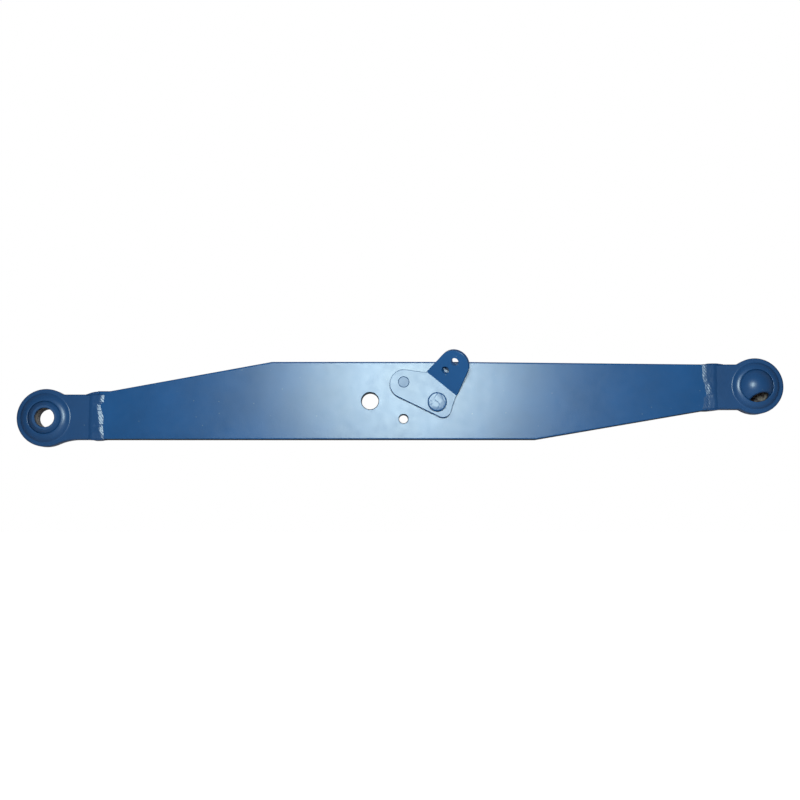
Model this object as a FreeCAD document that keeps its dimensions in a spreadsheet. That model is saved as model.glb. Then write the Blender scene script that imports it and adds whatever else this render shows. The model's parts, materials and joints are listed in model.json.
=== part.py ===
"""Tractor lower link: a flat bar with a forged ball socket welded to each end.

Millimetres. The origin is the centre of the front ball, the one at the tractor. X runs along the
link to the rear ball, Z is up, and the bracket is on the face that looks along -Y.
"""
import FreeCAD, Part
import math
import os
import re

import Sketcher

# The folder for the finished pieces
os.makedirs("parts", exist_ok=True)

document = FreeCAD.newDocument("lower_link")

# Driving dimensions, in millimetres and degrees
SIZES = {
    # The link as a whole
    "pin_spacing": 832.0,
    "rear_rise": 37.3,
    # The flat bar
    "bar_thick": 16.0,
    "bar_depth": 91.5,
    "bar_edge_radius": 1.8,
    "front_step": 3.9,
    "front_land": 15.0,
    "front_taper_end": 264.5,
    "rear_step": 1.8,
    "rear_land": 7.0,
    "rear_taper_start": 573.5,
    "droop_start": 481.0,
    # The plain holes through the bar
    "lift_hole_x": 379.8,
    "lift_hole_z": 19.7,
    "lift_hole_bore": 19.8,
    "plain_hole_x": 419.0,
    "plain_hole_z": -1.3,
    "plain_hole_bore": 10.4,
    # The balls, each left tilted about its own cross axis
    "ball_radius": 22.5,
    "ball_width": 35.0,
    "ball_bore": 22.4,
    "bore_chamfer": 0.6,
    "front_ball_tilt": 5.3,
    "front_ball_turn": 75.0,
    "rear_ball_tilt": 60.0,
    "rear_ball_turn": 14.0,
    # The forged sockets
    "seat_clearance": 0.2,
    "lip_height": 13.2,
    "lip_land": 0.6,
    "lip_edge_radius": 0.8,
    "boss_root_radius": 2.0,
    "front_boss_radius": 28.8,
    "rear_boss_radius": 27.4,
    "front_ring_radius": 33.9,
    "rear_ring_radius": 32.9,
    "front_reach": 60.2,
    "rear_reach": 55.2,
    "neck_thick": 16.0,
    "neck_depth": 53.0,
    "neck_offset": 0.9,
    "neck_edge_radius": 2.2,
    "neck_flare": 8.0,
    "front_lower_flare": 60.0,
    # The bracket, in its flat pattern: along the bend and across it
    "bend_x": 446.2,
    "bend_z": 53.6,
    "bend_slope": 39.0,
    "bend_length": 44.6,
    "bend_angle": 32.0,
    "bend_radius": 2.0,
    "bend_margin": 0.8,
    "bracket_thick": 6.0,
    "bracket_edge_radius": 0.6,
    "heel_along": -11.6,
    "heel_across": -27.8,
    "heel_radius": 16.8,
    "toe_along": 42.6,
    "toe_across": -22.6,
    "toe_radius": 9.5,
    "tab_end_along": 20.3,
    "tab_end_across": 27.8,
    "tab_end_radius": 17.7,
    "tab_hole_bore": 9.0,
    "upper_hole_along": 18.9,
    "upper_hole_across": 32.0,
    "lower_hole_along": 16.2,
    "lower_hole_across": 16.3,
    # The large rivet and the flush rivet that hold the bracket
    "rivet_clearance": 0.1,
    "rivet_along": 31.9,
    "rivet_across": -20.1,
    "rivet_shank": 13.0,
    "rivet_head_radius": 11.0,
    "rivet_head_height": 4.2,
    "rivet_head_edge": 2.2,
    "rivet_crown": 9.2,
    "rivet_tail_radius": 9.5,
    "rivet_tail_height": 4.0,
    "flush_along": -13.3,
    "flush_across": -26.5,
    "flush_shank": 13.0,
    "flush_proud": 0.4,
    "flush_bevel": 0.7,
    # The weld runs
    "weld_bevel": 3.0,
    "face_weld_width": 18.6,
    "face_weld_height": 3.0,
    "edge_weld_width": 16.0,
    "edge_weld_height": 1.0,
    "edge_weld_overlap": 1.6,
    "step_weld_width": 13.0,
    "step_weld_bulge": 1.0,
}

# Two places this close are the same place
TOUCH = 1e-4

sheet = document.addObject("Spreadsheet::Sheet", "sizes")
for row, (alias, size) in enumerate(SIZES.items(), start=1):
    sheet.set(f"A{row}", alias.replace("_", " "))
    sheet.set(f"B{row}", str(size))
    sheet.setAlias(f"B{row}", alias)
document.recompute()


def number(expression):
    """The value of an expression written with the names of the sheet."""
    return float(sheet.evalExpression(str(expression)))


def bound(expression):
    """The same expression as another object of the document reads it."""
    return re.sub("[a-z_]+", lambda word: f"sizes.{word[0]}" if word[0] in SIZES else word[0], str(expression))


def bind(thing, field, expression):
    """Ties a property of an object to the sheet."""
    thing.setExpression(field, bound(expression))


# Expressions that several pieces share
NECK_TOP = "(neck_offset + neck_depth / 2)"
NECK_FOOT = "(neck_offset - neck_depth / 2)"
BAR_FACE = "bar_thick / 2"
BAR_TOP = f"bar_depth + {NECK_FOOT}"
REAR_JOINT = "pin_spacing - rear_reach"
SEAT = "ball_radius + seat_clearance"
MOUTH = f"sqrt(({SEAT}) ^ 2 - lip_height ^ 2)"
SETBACK = "bend_radius * tan(bend_angle / 2)"
PLATE_FRONT = "bar_thick / 2 + bracket_thick"


def new_body(name):
    body = document.addObject("PartDesign::Body", name)
    body.Label = name
    return body


def place(body, at, axis=("0", "0", "1"), angle="0"):
    """Puts a body at a bound place, turned about a bound axis."""
    spot = "; ".join(f"({value}) * 1 mm" for value in at)
    line = "; ".join(axis)
    turned = f"create(<<rotation>>; create(<<vector>>; {line}); {angle})"
    bind(body, "Placement", f"create(<<placement>>; create(<<vector>>; {spot}); {turned})")


def new_sketch(body, role, name, shift=None, tilt=None):
    """A sketch on one of the body's own planes.

    shift moves it off that plane along the plane's normal, and tilt turns it about the plane's own
    first axis.
    """
    plane = next(feature for feature in body.Origin.OriginFeatures if feature.Role == role)
    sketch = body.newObject("Sketcher::SketchObject", name)
    sketch.AttachmentSupport = [(plane, "")]
    sketch.MapMode = "FlatFace"
    if shift:
        bind(sketch, "AttachmentOffset.Base.z", shift)
    if tilt:
        sketch.AttachmentOffset = FreeCAD.Placement(
            FreeCAD.Vector(), FreeCAD.Rotation(FreeCAD.Vector(1, 0, 0), number(tilt)))
        bind(sketch, "AttachmentOffset.Rotation.Angle", tilt)
    return sketch


def tie(sketch, kind, *where, expression):
    """Adds a driving dimension to a sketch and ties it to the sheet."""
    index = sketch.addConstraint(Sketcher.Constraint(kind, *where, number(expression)))
    bind(sketch, f"Constraints[{index}]", expression)


def hold_point(sketch, geometry, point, across, up):
    """Fixes a point of a sketch by its distances from the sketch's origin."""
    tie(sketch, "DistanceX", -1, 1, geometry, point, expression=across)
    tie(sketch, "DistanceY", -1, 1, geometry, point, expression=up)


def tangent_points(one, two):
    """Where a line touches two circles that both lie to its left. A radius of 0 is a point."""
    (x1, y1, r1), (x2, y2, r2) = one, two
    length = math.hypot(x2 - x1, y2 - y1)
    heading = math.atan2(y2 - y1, x2 - x1)
    normal = heading - math.pi / 2 + math.asin((r1 - r2) / length)
    nx, ny = math.cos(normal), math.sin(normal)
    return FreeCAD.Vector(x1 + r1 * nx, y1 + r1 * ny, 0), FreeCAD.Vector(x2 + r2 * nx, y2 + r2 * ny, 0)


def tangent_outline(sketch, stations):
    """A closed outline round its stations, counterclockwise, with straight sides between them.

    A station is a corner (across, up) or an arc (across, up, radius) that the sides touch.
    """
    rounds = [tuple(number(value) for value in (*station, 0)[:3]) for station in stations]
    count = len(stations)
    sides = [tangent_points(rounds[i], rounds[(i + 1) % count]) for i in range(count)]
    lines = [sketch.addGeometry(Part.LineSegment(start, end), False) for start, end in sides]
    for i, station in enumerate(stations):
        before, after = lines[i - 1], lines[i]
        if len(station) == 2:
            sketch.addConstraint(Sketcher.Constraint("Coincident", before, 2, after, 1))
            hold_point(sketch, after, 1, *station)
            continue
        x, y, radius = rounds[i]
        arrive, leave = sides[i - 1][1], sides[i][0]
        first = math.atan2(arrive.y - y, arrive.x - x)
        last = math.atan2(leave.y - y, leave.x - x)
        last += 2 * math.pi if last < first else 0
        whole = Part.Circle(FreeCAD.Vector(x, y, 0), FreeCAD.Vector(0, 0, 1), radius)
        arc = sketch.addGeometry(Part.ArcOfCircle(whole, first, last), False)
        sketch.addConstraint(Sketcher.Constraint("Tangent", before, 2, arc, 1))
        sketch.addConstraint(Sketcher.Constraint("Tangent", arc, 2, after, 1))
        tie(sketch, "Radius", arc, expression=station[2])
        hold_point(sketch, arc, 3, station[0], station[1])


def arc_side(start, end, radius, bulge):
    """The short arc between two places, bulging to the right of the way along it, or to the left."""
    along = end - start
    rise = radius - math.sqrt(max(radius ** 2 - (along.Length / 2) ** 2, 0))
    right = FreeCAD.Vector(along.y, -along.x, 0).normalize()
    return Part.Arc(start, (start + end) * 0.5 + right * rise * bulge, end)


def section_outline(sketch, points, arcs):
    """A closed outline through fixed points, listed counterclockwise.

    arcs gives, for a side by the number of the point that it leaves, its radius and 1 where it
    bulges outwards or -1 where it is hollow.
    """
    spots = [FreeCAD.Vector(number(x), number(y), 0) for x, y in points]
    count = len(points)
    sides = []
    for i, start in enumerate(spots):
        end = spots[(i + 1) % count]
        shape = arc_side(start, end, number(arcs[i][0]), arcs[i][1]) if i in arcs else Part.LineSegment(start, end)
        sides.append(sketch.addGeometry(shape, False))
    for i, spot in enumerate(spots):
        before, after = sides[i - 1], sides[i]
        # An arc runs counterclockwise, so a hollow one is stored from its far end
        leaves = 1 if (sketch.getPoint(after, 1) - spot).Length < TOUCH else 2
        arrives = 2 if (sketch.getPoint(before, 2) - spot).Length < TOUCH else 1
        sketch.addConstraint(Sketcher.Constraint("Coincident", before, arrives, after, leaves))
        hold_point(sketch, after, leaves, *points[i])
    for i, (radius, _) in arcs.items():
        tie(sketch, "Radius", sides[i], expression=radius)


def circle(sketch, across, up, diameter):
    middle = FreeCAD.Vector(number(across), number(up), 0)
    ring = sketch.addGeometry(Part.Circle(middle, FreeCAD.Vector(0, 0, 1), number(diameter) / 2), False)
    hold_point(sketch, ring, 3, across, up)
    tie(sketch, "Diameter", ring, expression=diameter)


def pad(body, sketch, name, length, symmetric=False, reverse=False):
    feature = body.newObject("PartDesign::Pad", name)
    feature.Profile = sketch
    bind(feature, "Length", length)
    feature.SideType = "Symmetric" if symmetric else "One side"
    feature.Reversed = reverse
    document.recompute()
    return feature


def drill(body, sketch, name):
    """Cuts a sketch through the body, both ways from its plane."""
    before = body.Shape.Volume
    feature = body.newObject("PartDesign::Pocket", name)
    feature.Profile = sketch
    feature.Type = "ThroughAll"
    feature.SideType = "Symmetric"
    document.recompute()
    if body.Shape.Volume > before - TOUCH:
        raise RuntimeError(f"{name} cuts nothing")
    return feature


def revolve(body, sketch, name, kind="Revolution", axis="V_Axis", angle="360"):
    """Turns a section about an axis of its sketch, to add to the body or with Groove to cut it."""
    before = body.Shape.Volume if kind == "Groove" else 0
    feature = body.newObject(f"PartDesign::{kind}", name)
    feature.Profile = sketch
    feature.ReferenceAxis = (sketch, [axis])
    bind(feature, "Angle", angle)
    document.recompute()
    if kind == "Groove" and body.Shape.Volume > before - TOUCH:
        raise RuntimeError(f"{name} cuts nothing")
    return feature


def dress(body, kind, name, size, wanted):
    """Chamfers or fillets those edges of the body's last feature that pass a test."""
    base = body.Tip
    names = [f"Edge{index}" for index, edge in enumerate(base.Shape.Edges, start=1)
             if hasattr(edge, "Curve") and wanted(edge)]
    if not names:
        raise RuntimeError(f"{name} finds no edges")
    feature = body.newObject(f"PartDesign::{kind}", name)
    feature.Base = (base, names)
    bind(feature, "Size" if kind == "Chamfer" else "Radius", size)
    document.recompute()
    if feature.Shape.isNull() or not feature.Shape.isValid():
        raise RuntimeError(f"{name} fails")
    return feature


def ends_of(edge):
    """The two ends of an edge, the same place twice where it is closed."""
    return edge.Vertexes[0].Point, edge.Vertexes[-1].Point


def near(one, two):
    return abs(one - two) < TOUCH


def is_arc(edge, radius):
    return edge.Curve.TypeId == "Part::GeomCircle" and near(edge.Curve.Radius, number(radius))


def flat_pattern_x(along, across):
    """X on the bar of a place in the bracket's flat pattern."""
    return f"bend_x + ({along}) * cos(bend_slope) + ({across}) * sin(bend_slope)"


def flat_pattern_z(along, across):
    """Z on the bar of a place in the bracket's flat pattern."""
    return f"bend_z - ({along}) * sin(bend_slope) + ({across}) * cos(bend_slope)"


RIVET_AT = (flat_pattern_x("rivet_along", "rivet_across"), flat_pattern_z("rivet_along", "rivet_across"))
FLUSH_AT = (flat_pattern_x("flush_along", "flush_across"), flat_pattern_z("flush_along", "flush_across"))


def make_bar():
    """The flat bar: its cut outline, ends bevelled for the welds, rounded edges and four holes."""
    body = new_body("link_bar")
    outline = new_sketch(body, "XZ_Plane", "bar_outline")
    tangent_outline(outline, [
        ("front_reach", NECK_FOOT),
        ("rear_taper_start", NECK_FOOT),
        (f"{REAR_JOINT} - rear_land", f"rear_rise - {NECK_TOP} - rear_step"),
        (REAR_JOINT, f"rear_rise - {NECK_TOP} - rear_step"),
        (REAR_JOINT, f"rear_rise - {NECK_FOOT}"),
        (f"{REAR_JOINT} - edge_weld_width / 2", f"rear_rise - {NECK_FOOT}"),
        ("droop_start", BAR_TOP),
        ("front_taper_end", BAR_TOP),
        ("front_reach + front_land", f"{NECK_TOP} + front_step"),
        ("front_reach", f"{NECK_TOP} + front_step"),
    ])
    pad(body, outline, "bar_plate", "bar_thick", symmetric=True)

    face = number(BAR_FACE)
    bevel = number("weld_bevel")
    joints = (number("front_reach"), number(REAR_JOINT))

    def is_end_edge(edge):
        one, two = ends_of(edge)
        on_face = near(abs(one.y), face) and near(one.y, two.y)
        return on_face and any(near(one.x, joint) and near(two.x, joint) for joint in joints)

    def is_long_edge(edge):
        one, two = ends_of(edge)
        on_face = near(abs(one.y), face) and near(one.y, two.y)
        ends = any(abs(one.x - joint) < bevel + TOUCH and abs(two.x - joint) < bevel + TOUCH for joint in joints)
        return on_face and not ends

    dress(body, "Chamfer", "bar_end_bevels", "weld_bevel", is_end_edge)
    dress(body, "Fillet", "bar_edge_rounding", "bar_edge_radius", is_long_edge)

    holes = new_sketch(body, "XZ_Plane", "bar_holes")
    circle(holes, "lift_hole_x", "lift_hole_z", "lift_hole_bore")
    circle(holes, "plain_hole_x", "plain_hole_z", "plain_hole_bore")
    circle(holes, *RIVET_AT, "rivet_shank + 2 * rivet_clearance")
    circle(holes, *FLUSH_AT, "flush_shank + 2 * rivet_clearance")
    drill(body, holes, "bar_drilling")
    return body


def make_socket(end, ring_radius, boss_radius, reach, upper_flare, lower_flare):
    """A forged socket about the centre of its ball, with its neck along +X to the weld.

    The ring is a disc as thick as the neck with a domed boss on each face. The flares are the radii
    that lead the neck's two edges into the ring.
    """
    body = new_body(f"{end}_socket")
    band = "neck_thick / 2"
    lip = f"{MOUTH} + lip_land"
    rise = f"(lip_height - {band})"
    dome_radius = f"(({boss_radius} - ({lip})) ^ 2 + {rise} ^ 2) / (2 * {rise})"
    ring = new_sketch(body, "XY_Plane", f"{end}_ring_section")
    section_outline(ring, [
        ("0", "-lip_height"),
        (lip, "-lip_height"),
        (boss_radius, f"-{band}"),
        (ring_radius, f"-{band}"),
        (ring_radius, band),
        (boss_radius, band),
        (lip, "lip_height"),
        ("0", "lip_height"),
    ], {1: (dome_radius, 1), 5: (dome_radius, 1)})
    revolve(body, ring, f"{end}_ring")

    face = number(band)

    def is_boss_root(edge):
        return is_arc(edge, boss_radius) and near(abs(edge.Curve.Center.y), face)

    dress(body, "Fillet", f"{end}_boss_root", "boss_root_radius", is_boss_root)

    upper_z = f"({NECK_TOP} + {upper_flare})"
    lower_z = f"({NECK_FOOT} - {lower_flare})"
    upper_x = f"sqrt(({ring_radius} + {upper_flare}) ^ 2 - {upper_z} ^ 2)"
    lower_x = f"sqrt(({ring_radius} + {lower_flare}) ^ 2 - {lower_z} ^ 2)"
    upper_share = f"{ring_radius} / ({ring_radius} + {upper_flare})"
    lower_share = f"{ring_radius} / ({ring_radius} + {lower_flare})"
    outline = new_sketch(body, "XZ_Plane", f"{end}_neck_outline")
    section_outline(outline, [
        (reach, NECK_FOOT),
        (reach, NECK_TOP),
        (upper_x, NECK_TOP),
        (f"{upper_x} * {upper_share}", f"{upper_z} * {upper_share}"),
        (f"{lower_x} * {lower_share}", f"{lower_z} * {lower_share}"),
        (lower_x, NECK_FOOT),
    ], {2: (upper_flare, -1), 4: (lower_flare, -1)})
    pad(body, outline, f"{end}_neck", "neck_thick", symmetric=True)

    joint = number(reach)

    def is_end_edge(edge):
        one, two = ends_of(edge)
        on_face = near(abs(one.y), face) and near(one.y, two.y)
        return on_face and near(one.x, joint) and near(two.x, joint)

    def is_outer_edge(edge):
        one, two = ends_of(edge)
        on_face = near(abs(one.y), face) and near(one.y, two.y)
        curved = any(is_arc(edge, radius) for radius in (ring_radius, upper_flare, lower_flare))
        long = edge.Curve.TypeId == "Part::GeomLine" and not near(one.x, two.x)
        return on_face and (curved or long)

    dress(body, "Chamfer", f"{end}_neck_bevels", "weld_bevel", is_end_edge)
    dress(body, "Fillet", f"{end}_edge_rounding", "neck_edge_radius", is_outer_edge)

    seat = new_sketch(body, "XY_Plane", f"{end}_seat_section")
    section_outline(seat, [("0", f"-({SEAT})"), (SEAT, "0"), ("0", SEAT)], {0: (SEAT, 1), 1: (SEAT, 1)})
    revolve(body, seat, f"{end}_seat", kind="Groove")

    def is_mouth(edge):
        return is_arc(edge, MOUTH) and near(abs(edge.Curve.Center.y), number("lip_height"))

    dress(body, "Fillet", f"{end}_lip_rounding", "lip_edge_radius", is_mouth)
    return body


def make_ball(end):
    """A ball with two flats and a bore along Y, about its own centre."""
    body = new_body(f"{end}_ball")
    flat = "ball_width / 2"
    bore = "ball_bore / 2"
    flat_radius = "sqrt(ball_radius ^ 2 - (ball_width / 2) ^ 2)"
    section = new_sketch(body, "XY_Plane", f"{end}_ball_section")
    section_outline(section, [
        (f"{bore} + bore_chamfer", f"-{flat}"),
        (flat_radius, f"-{flat}"),
        ("ball_radius", "0"),
        (flat_radius, flat),
        (f"{bore} + bore_chamfer", flat),
        (bore, f"{flat} - bore_chamfer"),
        (bore, f"-{flat} + bore_chamfer"),
    ], {1: ("ball_radius", 1), 2: ("ball_radius", 1)})
    revolve(body, section, f"{end}_ball_turning")
    return body


def make_bracket():
    """The bracket in its flat pattern, X along the bend, Y across it and Z out of its front face."""
    body = new_body("check_bracket")
    plate = new_sketch(body, "XY_Plane", "plate_outline")
    tangent_outline(plate, [
        ("bend_length", f"-{SETBACK}"),
        ("0", f"-{SETBACK}"),
        ("0", f"-{SETBACK} - bend_margin"),
        ("heel_along", "heel_across", "heel_radius"),
        ("toe_along", "toe_across", "toe_radius"),
        ("bend_length", f"-{SETBACK} - bend_margin"),
    ])
    pad(body, plate, "plate", "bracket_thick", reverse=True)

    bend = new_sketch(body, "XZ_Plane", "bend_section", shift=SETBACK)
    section_outline(bend, [("0", "-bracket_thick"), ("bend_length", "-bracket_thick"), ("bend_length", "0"),
                           ("0", "0")], {})
    centre = Part.LineSegment(FreeCAD.Vector(0, number("bend_radius"), 0),
                              FreeCAD.Vector(number("bend_length"), number("bend_radius"), 0))
    line = bend.addGeometry(centre, True)
    hold_point(bend, line, 1, "0", "bend_radius")
    hold_point(bend, line, 2, "bend_length", "bend_radius")
    revolve(body, bend, "bend", axis="Axis0", angle="bend_angle")

    tab = new_sketch(body, "XY_Plane", "tab_outline", tilt="bend_angle")
    tangent_outline(tab, [
        ("0", SETBACK),
        ("bend_length", SETBACK),
        ("bend_length", f"{SETBACK} + bend_margin"),
        ("tab_end_along", "tab_end_across", "tab_end_radius"),
        ("0", f"{SETBACK} + bend_margin"),
    ])
    pad(body, tab, "tab", "bracket_thick", reverse=True)

    across_bend = number("bend_length")
    thick = number("bracket_thick")

    def is_outline_edge(edge):
        one, two = ends_of(edge)
        beside_bend = any(near(one.x, side) and near(two.x, side) for side in (0, across_bend))
        on_bend = near(abs(one.x - two.x), across_bend)
        return not beside_bend and not on_bend and not near(edge.Length, thick)

    dress(body, "Fillet", "bracket_edge_rounding", "bracket_edge_radius", is_outline_edge)

    rivet_holes = new_sketch(body, "XY_Plane", "bracket_rivet_holes")
    circle(rivet_holes, "rivet_along", "rivet_across", "rivet_shank + 2 * rivet_clearance")
    circle(rivet_holes, "flush_along", "flush_across", "flush_shank + 2 * rivet_clearance")
    drill(body, rivet_holes, "bracket_rivet_drilling")
    tab_holes = new_sketch(body, "XY_Plane", "tab_holes", tilt="bend_angle")
    circle(tab_holes, "upper_hole_along", "upper_hole_across", "tab_hole_bore")
    circle(tab_holes, "lower_hole_along", "lower_hole_across", "tab_hole_bore")
    drill(body, tab_holes, "tab_drilling")
    return body


def make_rivet():
    """The large rivet along Y: a round flattened head in front, a formed head behind."""
    body = new_body("bracket_rivet")
    shank = "rivet_shank / 2"
    tail_radius = "(rivet_tail_radius ^ 2 + rivet_tail_height ^ 2) / (2 * rivet_tail_height)"
    section = new_sketch(body, "XY_Plane", "rivet_section")
    section_outline(section, [
        ("0", f"-({PLATE_FRONT} + rivet_head_height)"),
        ("rivet_crown", f"-({PLATE_FRONT} + rivet_head_height)"),
        ("rivet_head_radius", f"-({PLATE_FRONT} + rivet_head_edge)"),
        ("rivet_head_radius", f"-({PLATE_FRONT})"),
        (shank, f"-({PLATE_FRONT})"),
        (shank, BAR_FACE),
        ("rivet_tail_radius", BAR_FACE),
        ("0", f"{BAR_FACE} + rivet_tail_height"),
    ], {1: ("rivet_head_radius - rivet_crown", 1), 6: (tail_radius, 1)})
    revolve(body, section, "rivet_forming")
    return body


def make_flush_rivet():
    """The flush rivet along Y, its two ends a little proud of the plate and the bar."""
    body = new_body("bracket_pin")
    radius = "flush_shank / 2"
    front = f"{PLATE_FRONT} + flush_proud"
    back = f"{BAR_FACE} + flush_proud"
    section = new_sketch(body, "XY_Plane", "flush_section")
    section_outline(section, [
        ("0", f"-({front})"),
        (f"{radius} - flush_bevel", f"-({front})"),
        (radius, f"-({front}) + flush_bevel"),
        (radius, f"{back} - flush_bevel"),
        (f"{radius} - flush_bevel", back),
        ("0", back),
    ], {})
    revolve(body, section, "flush_forming")
    return body


def cap_radius(width, height):
    """The radius of a cap over a flat of this width."""
    return f"(({width}) ^ 2 / 4 + {height} ^ 2) / (2 * {height})"


def make_face_weld(name):
    """A weld run down a face of the joint, its root in the bevels, along Z from the neck's edge."""
    body = new_body(name)
    half = "face_weld_width / 2"
    section = new_sketch(body, "XY_Plane", f"{name}_section")
    section_outline(section, [
        (f"-{half}", "0"),
        (half, "0"),
        ("weld_bevel", "0"),
        ("0", "weld_bevel"),
        ("-weld_bevel", "0"),
    ], {0: (cap_radius("face_weld_width", "face_weld_height"), 1)})
    pad(body, section, f"{name}_run", "neck_depth", symmetric=True)
    return body


def make_edge_weld(name):
    """A weld run across the flush edge of the joint, hanging below it."""
    body = new_body(name)
    half = "edge_weld_width / 2"
    section = new_sketch(body, "XZ_Plane", f"{name}_section")
    section_outline(section, [(f"-{half}", "0"), (half, "0")],
                    {0: (cap_radius("edge_weld_width", "edge_weld_height"), 1)})
    pad(body, section, f"{name}_run", "bar_thick + 2 * edge_weld_overlap", symmetric=True)
    return body


def make_step_weld(name, step):
    """A weld run in the step where the bar stands proud of the neck."""
    body = new_body(name)
    chord = f"sqrt(step_weld_width ^ 2 + {step} ^ 2)"
    section = new_sketch(body, "XZ_Plane", f"{name}_section")
    section_outline(section, [("-step_weld_width", "0"), ("0", "0"), ("0", step)],
                    {2: (cap_radius(chord, "step_weld_bulge"), 1)})
    pad(body, section, f"{name}_run", "bar_thick + 2 * edge_weld_overlap", symmetric=True)
    return body


def make_welds(end, joint, rise, step, turned):
    """The four weld runs at one end. turned is 1 at the front and -1 at the rear, half a turn round."""
    half_turn = ("0", "1", "0"), "0" if turned > 0 else "180"
    upper, lower = ("top", "bottom") if turned > 0 else ("bottom", "top")
    outer = make_face_weld(f"{end}_weld_outer")
    place(outer, (joint, f"-{BAR_FACE}", f"{rise} + {turned} * neck_offset"))
    inner = make_face_weld(f"{end}_weld_inner")
    place(inner, (joint, BAR_FACE, f"{rise} + {turned} * neck_offset"), angle="180")
    edge = make_edge_weld(f"{end}_weld_{lower}")
    place(edge, (joint, "0", f"{rise} + {turned} * {NECK_FOOT}"), *half_turn)
    stepped = make_step_weld(f"{end}_weld_{upper}", step)
    place(stepped, (joint, "0", f"{rise} + {turned} * {NECK_TOP}"), *half_turn)
    return [outer, inner, edge, stepped]


bar = make_bar()
front_socket = make_socket("front", "front_ring_radius", "front_boss_radius", "front_reach",
                           "neck_flare", "front_lower_flare")
rear_socket = make_socket("rear", "rear_ring_radius", "rear_boss_radius", "rear_reach",
                          "neck_flare", "neck_flare")
place(rear_socket, ("pin_spacing", "0", "rear_rise"), ("0", "1", "0"), "180")

front_ball = make_ball("front")
place(front_ball, ("0", "0", "0"), ("cos(front_ball_turn)", "0", "sin(front_ball_turn)"), "front_ball_tilt")
rear_ball = make_ball("rear")
place(rear_ball, ("pin_spacing", "0", "rear_rise"), ("cos(rear_ball_turn)", "0", "sin(rear_ball_turn)"),
      "rear_ball_tilt")

bracket = make_bracket()
bind(bracket, "Placement", f"create(<<placement>>; create(<<vector>>; bend_x * 1 mm; -({PLATE_FRONT}) * 1 mm; "
     "bend_z * 1 mm); create(<<rotation>>; 0; bend_slope; 90))")
rivet = make_rivet()
place(rivet, (RIVET_AT[0], "0", RIVET_AT[1]))
flush_rivet = make_flush_rivet()
place(flush_rivet, (FLUSH_AT[0], "0", FLUSH_AT[1]))

front_welds = make_welds("front", "front_reach", "0", "front_step", 1)
rear_welds = make_welds("rear", REAR_JOINT, "rear_rise", "rear_step", -1)
document.recompute()

for item in document.Objects:
    if "Invalid" in item.State or "Error" in item.State:
        raise RuntimeError(f"{item.Label} failed: {item.State}")

pieces = [bar, front_socket, rear_socket, front_ball, rear_ball, bracket, rivet, flush_rivet]
pieces += front_welds + rear_welds
for piece in pieces:
    if piece.Shape.isNull() or not piece.Shape.isValid():
        raise RuntimeError(f"{piece.Label} has no valid shape")
for piece in pieces:
    piece.Shape.exportStep(f"parts/{piece.Label}.step")
    print(piece.Label, "volume", round(piece.Shape.Volume), "faces", len(piece.Shape.Faces))
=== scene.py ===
# %% [markdown]
# # A tractor's lower link, painted and lit
#
# The link is a flat bar of hot-rolled steel with a forged ball socket welded to each end. The
# construction is already there as a frame of finished solids, in metres. This lesson gives those
# solids their paint and bare steel, lays real weld beads where the frame only has plain ones,
# hammers the head of the large rivet, and sets up the white room, the light and the camera.

# %% Load the frame
import json
import math
import random

import bpy
import mathutils
from mathutils import Matrix, Vector


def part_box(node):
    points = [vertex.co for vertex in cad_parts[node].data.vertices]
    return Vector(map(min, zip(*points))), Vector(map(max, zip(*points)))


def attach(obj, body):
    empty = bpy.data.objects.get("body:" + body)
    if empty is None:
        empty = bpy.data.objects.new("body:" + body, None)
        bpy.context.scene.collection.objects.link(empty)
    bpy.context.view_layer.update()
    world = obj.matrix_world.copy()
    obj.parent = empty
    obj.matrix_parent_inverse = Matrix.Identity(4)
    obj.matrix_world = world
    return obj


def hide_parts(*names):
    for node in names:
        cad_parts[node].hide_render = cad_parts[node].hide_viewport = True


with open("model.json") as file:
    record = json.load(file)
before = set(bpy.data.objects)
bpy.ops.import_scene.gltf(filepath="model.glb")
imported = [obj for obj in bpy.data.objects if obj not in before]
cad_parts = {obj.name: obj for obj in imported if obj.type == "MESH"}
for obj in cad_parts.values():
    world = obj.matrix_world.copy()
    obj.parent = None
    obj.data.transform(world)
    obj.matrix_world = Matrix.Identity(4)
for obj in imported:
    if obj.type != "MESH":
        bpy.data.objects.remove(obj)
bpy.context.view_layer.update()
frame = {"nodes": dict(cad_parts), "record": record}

scene = bpy.context.scene
bpy.ops.object.select_all(action="DESELECT")
print("pieces in the frame:", len(frame["nodes"]))

# %% [markdown]
# ## Places to measure from
#
# The welds sit where the sockets meet the bar, and the bores are where the record's mounts say.
# Rather than copying those numbers, we read them from the frame, so a weld or a hole's rim stays in
# its place if the link changes.

# %% Places
MM = 0.001


def middle_of(node):
    low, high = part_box(node)
    return (low + high) / 2


def size_of(node):
    low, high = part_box(node)
    return high - low


BAR_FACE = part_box("link_bar")[1].y
mounts = {mount["name"]: mount for mount in frame["record"]["mounts"]}
print("bar thickness in mm:", round(2 * BAR_FACE / MM, 2))
print("mounts:", sorted(mounts))

# %% [markdown]
# ## Colours
#
# Paint charts and pictures give colours as sRGB hex values, but a shader works in linear light. One
# function turns the first into the second.

# %% Colours
def linear(hex_colour):
    """An sRGB hex value as linear red, green, blue and alpha."""
    channels = [int(hex_colour[i:i + 2], 16) / 255 for i in (1, 3, 5)]
    return [c / 12.92 if c <= 0.04045 else ((c + 0.055) / 1.055) ** 2.4 for c in channels] + [1.0]


ENAMEL_BLUE = linear("#154C81")
# A greyer, slightly darker copy of the blue for the forgings, welds and balls; its greyness is
# painted sheen.
ENAMEL_WITH_PAINTED_SHEEN = linear("#1F4776")
DUST_GREY = linear("#6E7F8C")
SCRATCHED_STEEL = linear("#9A8F86")
OILY_STEEL = linear("#43363A")
# Painted shade for the surfaces that face down.
UNDERSIDE_SHADE = linear("#2B2B30")
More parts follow.
